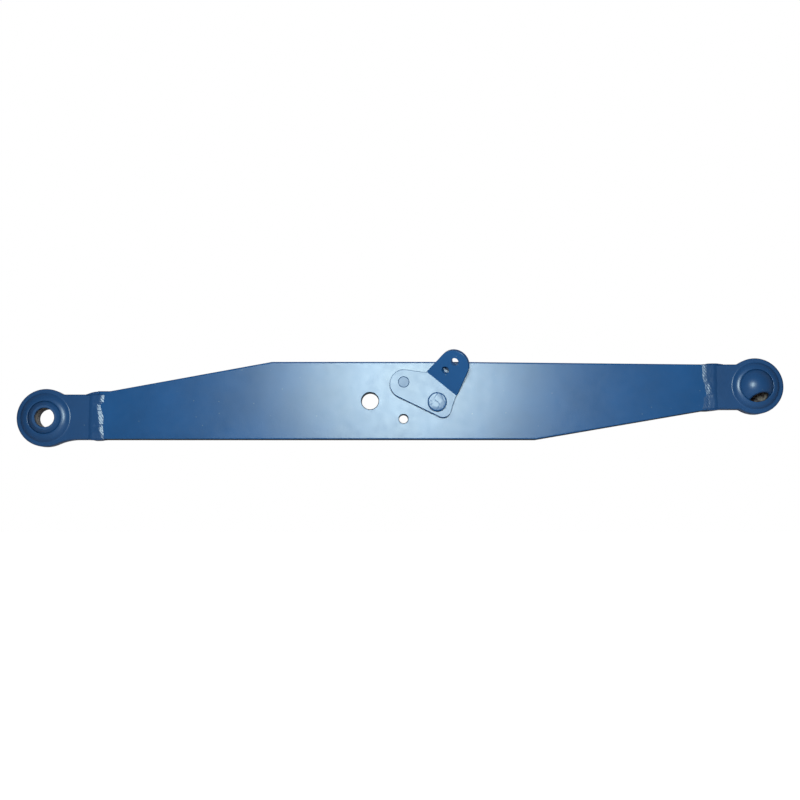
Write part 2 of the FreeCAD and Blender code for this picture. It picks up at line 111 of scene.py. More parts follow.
# Painted shade for the bar's holes and for the bores' mouths.
HOLE_SHADE = linear("#14233A")
FLOOR_GREY = linear("#A8A8A8")
WHITE = (1, 1, 1, 1)
print("enamel blue in linear light:", [round(channel, 3) for channel in ENAMEL_BLUE[:3]])

# %% [markdown]
# ## One helper for nodes
#
# A material is a small graph. This helper adds one node, fills in its settings and plugs in what
# feeds it, so each material below reads as a list of what it does.

# %% Node helper
def add_node(tree, kind, settings=None, inputs=None):
    """Adds a node. inputs gives each socket a value, or the output socket that feeds it."""
    node = tree.nodes.new(kind)
    for name, value in (settings or {}).items():
        setattr(node, name, value)
    for name, value in (inputs or {}).items():
        if isinstance(value, bpy.types.NodeSocket):
            tree.links.new(value, node.inputs[name])
        else:
            node.inputs[name].default_value = value
    return node


def new_material(name):
    material = bpy.data.materials.new(name)
    material.use_nodes = True
    return material, material.node_tree, material.node_tree.nodes["Principled BSDF"]


# %% [markdown]
# ## The colour of sprayed enamel
#
# The whole link is sprayed with one coat of blue alkyd enamel after welding. The coat is thicker in
# some places, so its tone changes slowly, over about 45 mm. A few specks of dust are caught in it.
# A Voronoi texture is a simple way to scatter them: it throws one point into each cube of 14 mm, and
# only where the surface passes within a millimetre of a point does it turn grey. That is coarser
# than real dust, so that it shows.

# %% The paint's colour
NOISE_SPAN = (0.3, 0.7)
COAT_CHANGE = 45 * MM
COAT_TONES = (0.9, 1.08)
DUST_SPACING = 14 * MM
SPECK = (0.03, 0.07)
DUST_STRENGTH = 0.45


def sprayed_colour(tree, place, colour):
    """The socket with the paint's colour."""
    slow = add_node(tree, "ShaderNodeTexNoise", inputs={
        "Vector": place, "Scale": 1 / COAT_CHANGE, "Detail": 3.0})
    tone = add_node(tree, "ShaderNodeMapRange", inputs={
        "Value": slow.outputs["Fac"], "From Min": NOISE_SPAN[0], "From Max": NOISE_SPAN[1],
        "To Min": COAT_TONES[0], "To Max": COAT_TONES[1]})
    painted = add_node(tree, "ShaderNodeVectorMath", {"operation": "SCALE"}, {
        0: colour[:3], "Scale": tone.outputs["Result"]})
    cells = add_node(tree, "ShaderNodeTexVoronoi", inputs={
        "Vector": place, "Scale": 1 / DUST_SPACING})
    speck = add_node(tree, "ShaderNodeMapRange", inputs={
        "Value": cells.outputs["Distance"], "From Min": SPECK[0], "From Max": SPECK[1],
        "To Min": DUST_STRENGTH, "To Max": 0.0})
    dusty = add_node(tree, "ShaderNodeMix", {"data_type": "RGBA"}, {
        "Factor": speck.outputs["Result"], 6: painted.outputs["Vector"], 7: DUST_GREY})
    return dusty.outputs[2]


print("one point of dust in a cube of mm:", round(DUST_SPACING / MM))

# %% [markdown]
# ## The surface of sprayed enamel
#
# The gloss is satin, a little uneven from place to place. The relief is two bumps in a row: the
# steel's own skin under the paint, and on top of it the fine orange peel that a spray gun leaves.
# Rolled plate only has slow waves, while the hammered skin of a forging has soft bumps of a few
# millimetres. So one function makes both, with the size and depth of the bumps as its settings.

# %% The paint's surface
GLOSS_PATCHES = 9 * MM
GLOSS_CHANGE = 0.04
SKIN_STRENGTH = 0.5
ORANGE_PEEL = 1.6 * MM
PEEL_DEPTH = 0.05 * MM
PEEL_STRENGTH = 0.25


def uneven_gloss(tree, place, roughness):
    """The socket with the roughness."""
    patches = add_node(tree, "ShaderNodeTexNoise", inputs={
        "Vector": place, "Scale": 1 / GLOSS_PATCHES})
    gloss = add_node(tree, "ShaderNodeMapRange", inputs={
        "Value": patches.outputs["Fac"],
        "To Min": roughness - GLOSS_CHANGE, "To Max": roughness + GLOSS_CHANGE})
    return gloss.outputs["Result"]


def painted_skin(tree, place, bump_size, bump_depth):
    """The socket with the normal."""
    steel = add_node(tree, "ShaderNodeTexNoise", inputs={
        "Vector": place, "Scale": 1 / bump_size, "Detail": 3.0})
    under = add_node(tree, "ShaderNodeBump", inputs={
        "Strength": SKIN_STRENGTH, "Distance": bump_depth, "Height": steel.outputs["Fac"]})
    peel = add_node(tree, "ShaderNodeTexNoise", inputs={
        "Vector": place, "Scale": 1 / ORANGE_PEEL, "Detail": 1.0})
    over = add_node(tree, "ShaderNodeBump", inputs={
        "Strength": PEEL_STRENGTH, "Distance": PEEL_DEPTH, "Height": peel.outputs["Fac"],
        "Normal": under.outputs["Normal"]})
    return over.outputs["Normal"]


def enamel(name, colour, bump_size, bump_depth, roughness):
    material, tree, shader = new_material(name)
    place = add_node(tree, "ShaderNodeTexCoord").outputs["Object"]
    tree.links.new(sprayed_colour(tree, place, colour), shader.inputs["Base Color"])
    tree.links.new(uneven_gloss(tree, place, roughness), shader.inputs["Roughness"])
    tree.links.new(painted_skin(tree, place, bump_size, bump_depth), shader.inputs["Normal"])
    return material


print("orange peel in mm:", round(ORANGE_PEEL / MM, 2), "wide and", round(PEEL_DEPTH / MM, 2), "deep")

# %% [markdown]
# ## The enamels of this link
#
# It is one paint, but it lies differently on each piece. The bar and the bracket are rolled plate
# and take it smoothly. The forgings and the welds have a rougher skin, and they get a greyer,
# slightly darker copy of the blue, whose greyness is painted sheen. The large rivet was hammered,
# and the end of the flush one is the dullest of all.

# %% The enamels
plate_enamel = enamel(
    "blue_enamel_on_rolled_plate", ENAMEL_BLUE,
    bump_size=30 * MM, bump_depth=0.16 * MM, roughness=0.30)
bracket_enamel = enamel(
    "blue_enamel_on_bent_plate", ENAMEL_BLUE,
    bump_size=30 * MM, bump_depth=0.10 * MM, roughness=0.315)
rivet_enamel = enamel(
    "blue_enamel_on_hammered_rivet", ENAMEL_BLUE,
    bump_size=6 * MM, bump_depth=0.08 * MM, roughness=0.315)
pin_enamel = enamel(
    "blue_enamel_on_flush_rivet", ENAMEL_BLUE,
    bump_size=3 * MM, bump_depth=0.30 * MM, roughness=0.365)
forging_enamel = enamel(
    "blue_enamel_on_forging", ENAMEL_WITH_PAINTED_SHEEN,
    bump_size=5 * MM, bump_depth=0.12 * MM, roughness=0.33)
weld_enamel = enamel(
    "blue_enamel_on_weld", ENAMEL_WITH_PAINTED_SHEEN,
    bump_size=2.5 * MM, bump_depth=0.10 * MM, roughness=0.31)
print("enamels:", [m.name for m in bpy.data.materials if "enamel" in m.name])

# %% [markdown]
# ## Dull holes and painted shade
#
# In the bar's two drilled holes the wall and the very rim are dull, and a dark blue there is
# painted shade in the holes. The edges that look down are darker, which is painted shade too. Both
# are made the same way: a mask says where, and there another colour and roughness are laid over
# the paint's own. The hole's mask is the distance from its axis, which runs along Y, and the
# shade's mask is how far the surface faces down.

# %% Worn and dirty places
RIM = (0.6, 0.9)
HOLE_ROUGHNESS = 0.7
FACING_DOWN = (-0.35, -0.8)
DOWNWARD_SHADE_STRENGTH = 0.85
UNDERSIDE_ROUGHNESS = 0.8


def laid_over(material, mask, colour, roughness):
    """Where the mask is 1, the finish has this colour and roughness instead of its own."""
    tree = material.node_tree
    shader = tree.nodes["Principled BSDF"]
    for name, kind, over in (("Base Color", "RGBA", colour), ("Roughness", "FLOAT", roughness)):
        own = shader.inputs[name].links[0].from_socket
        first, second, result = (6, 7, 2) if kind == "RGBA" else (2, 3, 0)
        mix = add_node(tree, "ShaderNodeMix", {"data_type": kind}, {
            "Factor": mask, first: own, second: over})
        tree.links.new(mix.outputs[result], shader.inputs[name])


# The wall and a thin ring round each hole get a rough finish and HOLE_SHADE, which is painted shade.
def dull_shaded_hole(material, mount):
    tree = material.node_tree
    place = add_node(tree, "ShaderNodeTexCoord").outputs["Object"]
    apart = add_node(tree, "ShaderNodeVectorMath", {"operation": "SUBTRACT"}, {
        0: place, 1: mount["pos_m"]})
    flat = add_node(tree, "ShaderNodeVectorMath", {"operation": "MULTIPLY"}, {
        0: apart.outputs["Vector"], 1: (1, 0, 1)})
    distance = add_node(tree, "ShaderNodeVectorMath", {"operation": "LENGTH"}, {
        0: flat.outputs["Vector"]})
    radius = mount["dims"]["r_mm"]
    rim = add_node(tree, "ShaderNodeMapRange", inputs={
        "Value": distance.outputs["Value"], "From Min": (radius + RIM[0]) * MM,
        "From Max": (radius + RIM[1]) * MM, "To Min": 1.0, "To Max": 0.0})
    laid_over(material, rim.outputs["Result"], HOLE_SHADE, HOLE_ROUGHNESS)


# Surfaces that face down get a dark grey laid over the paint, which is painted shade.
def shaded_underside(material):
    tree = material.node_tree
    facing = add_node(tree, "ShaderNodeSeparateXYZ", inputs={
        "Vector": add_node(tree, "ShaderNodeNewGeometry").outputs["Normal"]})
    down = add_node(tree, "ShaderNodeMapRange", inputs={
        "Value": facing.outputs["Z"], "From Min": FACING_DOWN[0], "From Max": FACING_DOWN[1],
        "To Min": 0.0, "To Max": DOWNWARD_SHADE_STRENGTH})
    laid_over(material, down.outputs["Result"], UNDERSIDE_SHADE, UNDERSIDE_ROUGHNESS)


dull_shaded_hole(plate_enamel, mounts["lift_rod_hole"])
dull_shaded_hole(plate_enamel, mounts["plain_hole"])
shaded_underside(plate_enamel)
print("nodes in the bar's finish:", len(plate_enamel.node_tree.nodes))

# %% [markdown]
# ## The balls: where the bore is
#
# The spray reaches the outside of each ball but the bore was plugged, so it stays bare turned steel,
# brown with oil. One material does both. It has to know how far a point lies from the bore's own
# axis, and the ball was left tilted. A Mapping node turns the pattern to the way the bore points,
# which the record's mounts give.

# %% Along the bore
def seen_from_bore(tree, mount):
    """The sockets with a point's place, Z along the bore, and its distance from the axis."""
    turn = Vector(mount["axis"]).rotation_difference(Vector((0, 0, 1))).to_euler()
    place = add_node(tree, "ShaderNodeTexCoord").outputs["Object"]
    from_centre = add_node(tree, "ShaderNodeVectorMath", {"operation": "SUBTRACT"}, {
        0: place, 1: mount["pos_m"]})
    along_bore = add_node(tree, "ShaderNodeMapping", {"vector_type": "POINT"}, {
        "Vector": from_centre.outputs["Vector"], "Rotation": turn})
    flat = add_node(tree, "ShaderNodeVectorMath", {"operation": "MULTIPLY"}, {
        0: along_bore.outputs["Vector"], 1: (1, 1, 0)})
    distance = add_node(tree, "ShaderNodeVectorMath", {"operation": "LENGTH"}, {
        0: flat.outputs["Vector"]})
    return along_bore.outputs["Vector"], distance.outputs["Value"]


for name in ("front_ball_bore", "rear_ball_bore"):
    tilt = Vector(mounts[name]["axis"]).angle(Vector((0, -1, 0)))
    print(name, "is turned away by degrees:", round(math.degrees(tilt), 1))

# %% [markdown]
# ## The bore's steel
#
# Turning leaves fine rings round a bore, and old oil stains them in patches. A wave texture repeats
# every tau / 20 of its own units, so its scale is that length over the real spacing of the rings.
# The spray drifted some way in at both mouths, with a ragged end, and there the bore has the blue
# of the paint darkened with painted shade. The steel is under a film of oil and dirt, so it is far
# less metallic and shiny than clean steel, and a bore that is seen at a low angle stays dark.

# %% The bore's steel
WAVE_PERIOD = math.tau / 20
RING_SPACING = 0.5655 * MM
RING_DEPTH = 0.05 * MM
STAIN_SIZE = 6 * MM
STAIN_EDGE = (0.38, 0.62)
DRIFT_SIZE = 5 * MM
DRIFT_END = 3 * MM


def turned_steel(tree, along_bore, half_length, overspray):
    """The shader of the bore. overspray is how deep the paint drifted in."""
    apart = add_node(tree, "ShaderNodeSeparateXYZ", inputs={"Vector": along_bore})
    depth = add_node(tree, "ShaderNodeMath", {"operation": "ABSOLUTE"}, {0: apart.outputs["Z"]})
    drift = add_node(tree, "ShaderNodeTexNoise", inputs={
        "Vector": along_bore, "Scale": 1 / DRIFT_SIZE})
    ragged = add_node(tree, "ShaderNodeMath", {"operation": "MULTIPLY_ADD"}, {
        0: drift.outputs["Fac"], 1: DRIFT_END, 2: depth.outputs[0]})
    deep = add_node(tree, "ShaderNodeMapRange", inputs={
        "Value": ragged.outputs[0], "From Min": half_length - overspray,
        "From Max": half_length - overspray + DRIFT_END, "To Min": 1.0, "To Max": 0.0})

    stain = add_node(tree, "ShaderNodeTexNoise", inputs={
        "Vector": along_bore, "Scale": 1 / STAIN_SIZE, "Detail": 4.0})
    marked = add_node(tree, "ShaderNodeMapRange", inputs={
        "Value": stain.outputs["Fac"], "From Min": STAIN_EDGE[0], "From Max": STAIN_EDGE[1]})
    stained = add_node(tree, "ShaderNodeMix", {"data_type": "RGBA"}, {
        "Factor": marked.outputs["Result"], 6: OILY_STEEL, 7: SCRATCHED_STEEL})
    # Near the mouths the bore takes HOLE_SHADE: the drifted paint, darkened with painted shade.
    sprayed = add_node(tree, "ShaderNodeMix", {"data_type": "RGBA"}, {
        "Factor": deep.outputs["Result"], 6: HOLE_SHADE, 7: stained.outputs[2]})

    rings = add_node(tree, "ShaderNodeTexWave", {"wave_type": "BANDS", "bands_direction": "Z"}, {
        "Vector": along_bore, "Scale": WAVE_PERIOD / RING_SPACING, "Distortion": 0.6})
    bump = add_node(tree, "ShaderNodeBump", inputs={
        "Strength": 0.4, "Distance": RING_DEPTH, "Height": rings.outputs["Fac"]})
    steel = add_node(tree, "ShaderNodeBsdfPrincipled", inputs={
        "Base Color": sprayed.outputs[2], "Metallic": 0.3, "Roughness": 0.6,
        "Specular IOR Level": 0.2, "Normal": bump.outputs["Normal"]})
    return steel.outputs["BSDF"]


bore_length = mounts["front_ball_bore"]["dims"]["length_mm"] * MM
print("rings along a bore:", round(bore_length / RING_SPACING))

# %% [markdown]
# ## Enamel and steel on one ball
#
# The mask between the two is the distance from the bore's axis: inside the bore's radius it is
# steel, outside it is paint. The front ball was sprayed deeper into its bore than the rear one.

# %% The balls' finish
BORE_EDGE = (0.02 * MM, 0.15 * MM)


def ball_finish(name, mount, overspray):
    material = enamel(name, ENAMEL_WITH_PAINTED_SHEEN, bump_size=8 * MM, bump_depth=0.03 * MM, roughness=0.34)
    tree = material.node_tree
    along_bore, distance = seen_from_bore(tree, mount)
    radius = mount["dims"]["r_mm"] * MM
    half_length = mount["dims"]["length_mm"] * MM / 2
    in_bore = add_node(tree, "ShaderNodeMapRange", inputs={
        "Value": distance, "From Min": radius + BORE_EDGE[0], "From Max": radius + BORE_EDGE[1],
        "To Min": 1.0, "To Max": 0.0})
    either = add_node(tree, "ShaderNodeMixShader", inputs={
        "Fac": in_bore.outputs["Result"], 1: tree.nodes["Principled BSDF"].outputs["BSDF"],
        2: turned_steel(tree, along_bore, half_length, overspray)})
    tree.links.new(either.outputs["Shader"], tree.nodes["Material Output"].inputs["Surface"])
    return material


ball_materials = {
    "front_ball": ball_finish(
        "blue_enamel_and_turned_steel_front", mounts["front_ball_bore"], overspray=8 * MM),
    "rear_ball": ball_finish(
        "blue_enamel_and_turned_steel_rear", mounts["rear_ball_bore"], overspray=1 * MM),
}
print("ball finishes:", [material.name for material in ball_materials.values()])

# %% [markdown]
# ## Painting the frame's solids
#
# A solid of the frame keeps its shape and only gets a better material, by putting it in the solid's
# first material slot.

# %% Paint the solids
finishes = {
    "link_bar": plate_enamel, "check_bracket": bracket_enamel,
    "bracket_rivet": rivet_enamel, "bracket_pin": pin_enamel,
    "front_socket": forging_enamel, "rear_socket": forging_enamel, **ball_materials}
for node, material in finishes.items():
    solid = frame["nodes"][node].data
    solid.materials.clear()
    solid.materials.append(material)
print("painted:", sorted(finishes))

# %% [markdown]
# ## The shape across a weld bead
#
# A hand-laid weld is a row of small pools of steel that froze one over the next, like fallen coins.
# Seen across, this one climbs from the forging to a shoulder, goes on to its crest and then falls to
# the bar in a straight flank. That is easy to say as a height over the steel. So a bead starts as a
# flat grid, every point of it is lifted to that height, and then its rim is drawn down into the
# steel and closed.
#
# A height takes a place across the seam and along it, all in millimetres. The toes are where the
# bead meets the steel.

# %% Across a bead
SHOULDER = 0.9
SHOULDER_WIDTH = 4.5
CREST_ROUNDING = 0.3


def share_of(distance, whole):
    """How much of the whole a distance is, kept between 0 and 1."""
    return min(max(distance / whole, 0), 1)


def run_height(across, toe, crest, flank_toe, slope):
    """Climbs from the toe to a shoulder, goes on to the crest, and falls to the flank's toe."""
    climbed = share_of(across - toe, SHOULDER_WIDTH)
    past = share_of(across - toe - SHOULDER_WIDTH, crest - toe - SHOULDER_WIDTH)
    peak = slope * (flank_toe - crest)
    climb = (SHOULDER + (peak - SHOULDER) * past) * math.sin(climbed * math.pi / 2)
    climb += min(across - toe, 0)
    fall = slope * (flank_toe - across)
    near = max(CREST_ROUNDING - abs(climb - fall), 0) / CREST_ROUNDING
    return min(climb, fall) - near ** 2 * CREST_ROUNDING / 4


def run_at(stations, along):
    """The crest, the flank's toe and its slope at a place, eased between the run's stations."""
    if along >= stations[0][0]:
        return stations[0][1:]
    for above, below in zip(stations, stations[1:]):
        if along >= below[0]:
            share = (along - below[0]) / (above[0] - below[0])
            share = share * share * (3 - 2 * share)
            return [low + (high - low) * share for low, high in zip(below[1:], above[1:])]
    return stations[-1][1:]


plain_crest = run_height(across=3.2, toe=-9.2, crest=3.2, flank_toe=9.2, slope=0.30)
print("a plain crest in mm:", round(plain_crest, 2))

# %% [markdown]
# ## What the welder's hand adds
#
# No two coins are alike, so soft noise moves them a little. The creases between them are sharp,
# while their tops are round, which a parabola in each coin gives. They show on the flank only. The
# whole seam wanders by a millimetre, it is slightly pitted, and its ends round off. Coins and pits
# fade out where the bead gets thin, so that the toes stay clean.

# %% By hand
COIN_PITCH = 4.2
CREASE = 0.13
COIN_SHIFT = 1.2
COIN_SHIFT_LENGTH = 6.0
COINS_START = 1.5
WANDER = 1.2
WANDER_LENGTH = 8.0
WANDER_SEED = 9
PIT_DEPTH = 0.07
PIT_SIZE = 2.8
PIT_SEED = 5
FADE_HEIGHT = 0.4
BEAD_END = 1.6
DIP = 0.3


def rough(across, along, size, seed):
    """Soft unevenness between -1 and 1, with bumps about as long as size."""
    return mathutils.noise.noise(Vector((across / size, along / size, seed)))


def creases(across, along, lean, seed):
    """Rounded coins with a sharp crease between each two. lean slants them as the welder moved."""
    shift = COIN_SHIFT * rough(across, along, COIN_SHIFT_LENGTH, seed)
    place = (along - lean * across + shift) / COIN_PITCH
    return -CREASE * (2 * (place % 1) - 1) ** 2


def ends_round_off(along, half, radius):
    """1 along the bead, falling to 0 over the last stretch of it."""
    return math.sqrt(1 - (1 - share_of(half - abs(along), radius)) ** 2)


def hand_laid(stations, toe, length, lean, seed, flank_side=1):
    """A whole bead's height as a function of the place on it.

    Past its toes it dips under the steel. Its flank is at +X, or at -X if flank_side is -1.
    """
    def at(across, along):
        across = across * flank_side + WANDER * rough(0, along, WANDER_LENGTH, seed + WANDER_SEED)
        crest, flank_toe, slope = run_at(stations, along)
        run = run_height(across, toe, crest, flank_toe, slope)
        on_flank = share_of(across - crest + COINS_START, COINS_START)
        uneven = on_flank * creases(across, along, lean, seed)
        uneven += PIT_DEPTH * rough(across, along, PIT_SIZE, seed + PIT_SEED)
        height = run + uneven * share_of(run, FADE_HEIGHT)
        return max(height * ends_round_off(along, length / 2, BEAD_END), -DIP)
    return at


FACE_RUN = size_of("front_weld_outer").z / MM
print("coins on a face bead:", round(FACE_RUN / COIN_PITCH))

# %% [markdown]
# ## From a grid to a closed bead
#
# The grid has a point every 0.35 mm, fine enough for the creases between the coins, and a margin
# past each toe that lies under the steel. It is made flat in front of us, with X across, Z along and
# -Y out of the steel. Only its open rim is selected by the non-manifold operator, so the rim can be
# extruded, pushed down to the root and closed with one face.

# %% A bead
GRID = 0.35
MARGIN = 0.7
ROOT = 0.6


def lift_and_close(name, height_at, placement, root, material):
    """Lifts the active mesh to its heights, closes it below and moves it to its place."""
    piece = bpy.context.object
    piece.name = name
    for point in piece.data.vertices:
        point.co.y = -height_at(point.co.x, point.co.z)

    bpy.ops.object.mode_set(mode="EDIT")
    bpy.ops.mesh.select_all(action="DESELECT")
    bpy.ops.mesh.select_non_manifold()
    bpy.ops.mesh.extrude_edges_move()
    bpy.ops.object.mode_set(mode="OBJECT")
    for point in piece.data.vertices:
        if point.select:
            point.co.y = root
    bpy.ops.object.mode_set(mode="EDIT")
    bpy.ops.mesh.edge_face_add()
    bpy.ops.mesh.select_all(action="SELECT")
    bpy.ops.mesh.normals_make_consistent(inside=False)
    bpy.ops.object.mode_set(mode="OBJECT")
    piece.data.transform(placement @ Matrix.Diagonal((MM, MM, MM, 1)))
    bpy.ops.object.shade_smooth()
    piece.data.materials.append(material)
    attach(piece, "link")
    return piece


def lay_bead(name, toes, length, height_at, placement):
    """A bead between its two toes."""
    bpy.ops.object.select_all(action="DESELECT")
    width = toes[1] - toes[0] + 2 * MARGIN
    bpy.ops.mesh.primitive_grid_add(
        x_subdivisions=int(width / GRID), y_subdivisions=int(length / GRID), size=1,
        location=((toes[0] + toes[1]) / 2, 0, 0), rotation=(math.pi / 2, 0, 0))
    bpy.context.object.scale = (width, length, 1)
    bpy.ops.object.transform_apply(location=True, rotation=True, scale=True)
    return lift_and_close(name, height_at, placement, ROOT, weld_enamel)


print("a bead's grid in mm:", GRID)

# %% [markdown]
# ## The runs on the outer face
#
# A station is a place along the seam with the run's crest, the toe of its flank and the flank's
# slope. The flank lies towards the bar's middle. It wanders, with a few notches where the welder
# stopped, and at the rear end it flattens out half way down. Both runs keep one straight toe on the
# forging's side.

# %% The outer runs
FRONT_TOE = -9.2
FRONT_RUN = [
    (26, 4.9, 8.4, 0.27), (17.5, 4.0, 7.8, 0.27), (15.8, 4.4, 6.4, 0.22), (14, 0.8, 4.0, 0.27),
    (9, 0.8, 5.0, 0.27), (6, 1.3, 6.2, 0.27), (0, 2.4, 7.8, 0.26), (-8, 3.3, 7.8, 0.27),
    (-10.5, 4.4, 7.2, 0.24), (-12.5, 3.4, 7.8, 0.28), (-17, 4.0, 8.0, 0.28),
    (-20, 5.4, 8.2, 0.26), (-24, 6.6, 8.4, 0.24), (-26, 6.9, 8.6, 0.20)]
REAR_TOE = -9.8
REAR_RUN = [
    (26, 3.4, 7.2, 0.19), (14, 3.6, 7.0, 0.20), (6, 3.4, 6.2, 0.20), (2, -0.5, 4.4, 0.19),
    (-2, -2.4, 3.8, 0.17), (-8, -2.2, 3.0, 0.19), (-10, 0.0, 3.0, 0.12), (-14, 0.5, 6.0, 0.07),
    (-22, 1.4, 7.4, 0.08), (-26, 1.4, 7.4, 0.08)]
FRONT_LEAN, REAR_LEAN = -1.5, 1.3
print("stations:", len(FRONT_RUN), "at the front and", len(REAR_RUN), "at the rear")

# %% [markdown]
# ## Laying the beads on both faces
#
# Each end has one bead down each face. The back isn't in the picture, so the beads there are plain,
# even runs of the same width. A half turn about Z lays them on the other face, which also swaps the
# side of the flank.

# %% The face beads
BACK_TOE = 9.2
BACK_RUN = [(0, 3.2, BACK_TOE, 0.30)]
BACK_SEED = 20
EVEN_LEAN = 0.4

for end, stations, toe, lean, seed, flank_side in (
        ("front", FRONT_RUN, FRONT_TOE, FRONT_LEAN, 5, 1),
        ("rear", REAR_RUN, REAR_TOE, REAR_LEAN, 4, -1)):
    joint = middle_of(f"{end}_weld_outer")
    toes = sorted((toe * flank_side, max(station[2] for station in stations) * flank_side))
    shape = hand_laid(stations, toe, FACE_RUN, lean, seed, flank_side)
    place = Matrix.Translation((joint.x, -BAR_FACE, joint.z))
    lay_bead(f"{end}_bead_outer", toes, FACE_RUN, shape, place)
    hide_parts(f"{end}_weld_outer")

    shape = hand_laid(BACK_RUN, -BACK_TOE, FACE_RUN, EVEN_LEAN, seed + BACK_SEED, -flank_side)
    place = Matrix.Translation((joint.x, BAR_FACE, joint.z)) @ Matrix.Rotation(math.pi, 4, "Z")
    lay_bead(f"{end}_bead_inner", (-BACK_TOE, BACK_TOE), FACE_RUN, shape, place)
    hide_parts(f"{end}_weld_inner")

# %% [markdown]
# ## The beads across the flush edges
#
# At the front joint the lower edges of bar and neck are flush, and at the rear joint the upper ones
# are. A low bead crosses the bar's thickness there. A quarter turn about X points it up or down.

# %% The flush beads
EDGE_RUN = size_of("front_weld_bottom").y / MM
EDGE_SLOPE = 0.18


def on_edge(x, z, side):
    """The place of a bead on the upper edge, where side is 1, or on the lower one, where it is -1."""
    return Matrix.Translation((x, 0, z)) @ Matrix.Rotation(-math.pi / 2 * side, 4, "X")


for node, side, toe, crest, flank_toe, seed in (
        ("front_weld_bottom", -1, -6.5, 3.5, 8.0, 1), ("rear_weld_top", 1, -4.0, 10.0, 16.0, 3)):
    low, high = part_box(node)
    shape = hand_laid([(0, crest, flank_toe, EDGE_SLOPE)], toe, EDGE_RUN, EVEN_LEAN, seed)
    place = on_edge(middle_of(node).x, low.z if side > 0 else high.z, side)
    name = node.replace("weld", "bead")
    lay_bead(name, (toe, flank_toe), EDGE_RUN, shape, place)
    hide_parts(node)

# %% [markdown]
# ## The beads in the steps
#
# On the other edge of each joint the bar stands higher than the neck. The weld fills that step like
# a fillet that bulges a little. It climbs from the neck to the bar, and stays level from there on, a
# little lower than the frame's plain weld. Its ends sink by a quarter.

# %% The step beads
LAP_ON_BAR = 1.5
BELOW_PLAIN_WELD = 0.7
STEP_PITS = 0.12
STEP_PIT_SIZE = 2.6
STEP_END = 2.0
HEIGHT_AT_END = 0.75


def step_height(step, width, towards_ball):
    """The height of the fillet. towards_ball is 1 or -1, the way along X that leads to the ball."""
    def at(across, along):
        share = share_of(width - across * towards_ball, width)
        climb = step * math.sin(share * math.pi / 2)
        uneven = STEP_PITS * rough(across, along, STEP_PIT_SIZE, width) * share
        rounding = ends_round_off(along, EDGE_RUN / 2, STEP_END)
        return max(climb + uneven, 0) * (HEIGHT_AT_END + (1 - HEIGHT_AT_END) * rounding)
    return at


for node, side, towards_ball, filled in (
        ("front_weld_top", 1, -1, 0.9), ("rear_weld_bottom", -1, 1, 1.0)):
    low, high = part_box(node)
    width = filled * ((high.x - low.x) / MM)
    shape = step_height((high.z - low.z) / MM - BELOW_PLAIN_WELD, width, towards_ball)
    seam = high.x if towards_ball < 0 else low.x
    place = on_edge(seam, low.z if side > 0 else high.z, side)
    toes = sorted((width * towards_ball, -LAP_ON_BAR * towards_ball))
    lay_bead(node.replace("weld", "bead"), toes, EDGE_RUN, shape, place)
    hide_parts(node)

# %% [markdown]
# ## The shape of a hammered rivet head
#
# The large rivet was closed with a hammer, so its low dome is a patchwork of flat facets with blunt
# ridges between them. A facet is a plane that touches the dome, tilted a little at random, and the
# head is as high as the lowest of its planes. Thin folds show where the blows met: they run where a
# soft noise passes through zero.

# %% Hammered facets
DOME_RADIUS = 220.0
FACET_RINGS = [(0, 1), (4.6, 6), (8.6, 10)]
FACET_TILT = 0.065
FACET_SPREAD = 0.3
FOLD_DEPTH = 0.10
FOLD_SPACING = 9.0
FOLD_WIDTH = 0.08
FOLD_SEED = 3.0


def facets(rings, seed):
    """Planes that touch a dome: where each touches it, and how it tilts.

    A ring has a radius and a number of planes.
    """
    dice = random.Random(seed)
    planes = []
    for radius, count in rings:
        for i in range(count):
            angle = (i + dice.uniform(-FACET_SPREAD, FACET_SPREAD)) * math.tau / count
            x, z = radius * math.cos(angle), radius * math.sin(angle)
            tilt = [-place / DOME_RADIUS + dice.uniform(-FACET_TILT, FACET_TILT) for place in (x, z)]
            planes.append((x, z, -radius ** 2 / (2 * DOME_RADIUS), *tilt))
    return planes


def hammered(planes, top, radius, edge):
    """The head's height: its lowest plane, less the folds, rounded off over the edge."""
    def at(x, z):
        low = min(drop + slope_x * (x - plane_x) + slope_z * (z - plane_z)
                  for plane_x, plane_z, drop, slope_x, slope_z in planes)
        low -= FOLD_DEPTH * max(1 - abs(rough(x, z, FOLD_SPACING, FOLD_SEED)) / FOLD_WIDTH, 0)
        past = share_of(math.hypot(x, z) - (radius - edge), edge)
        return top + low - edge * (1 - math.sqrt(1 - past ** 2))
    return at


planes = facets(FACET_RINGS, seed=7)
print("facets:", len(planes))

# %% [markdown]
# ## Making the head
#
# A fan of triangles, divided finely, is lifted to that height and drawn down into the bracket, with
# the same function as a bead. It sits over the plain head of the frame's own rivet, just wide and
# high enough to cover it. Its height is measured from the end of the flush rivet beside it, which
# stands only 0.4 mm proud of the bracket.

# %% The rivet head
HEAD_OVERLAP = 0.12
HEAD_RISE = 0.9
HEAD_EDGE = 1.0
HEAD_ROOT = 0.5

rivet_low, rivet_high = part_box("bracket_rivet")
flush_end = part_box("bracket_pin")[0].y
head_radius = (rivet_high.x - rivet_low.x) / 2 / MM + HEAD_OVERLAP
head_height = (flush_end - rivet_low.y) / MM
print("rivet head in mm:", round(head_radius, 2), round(head_height, 2))

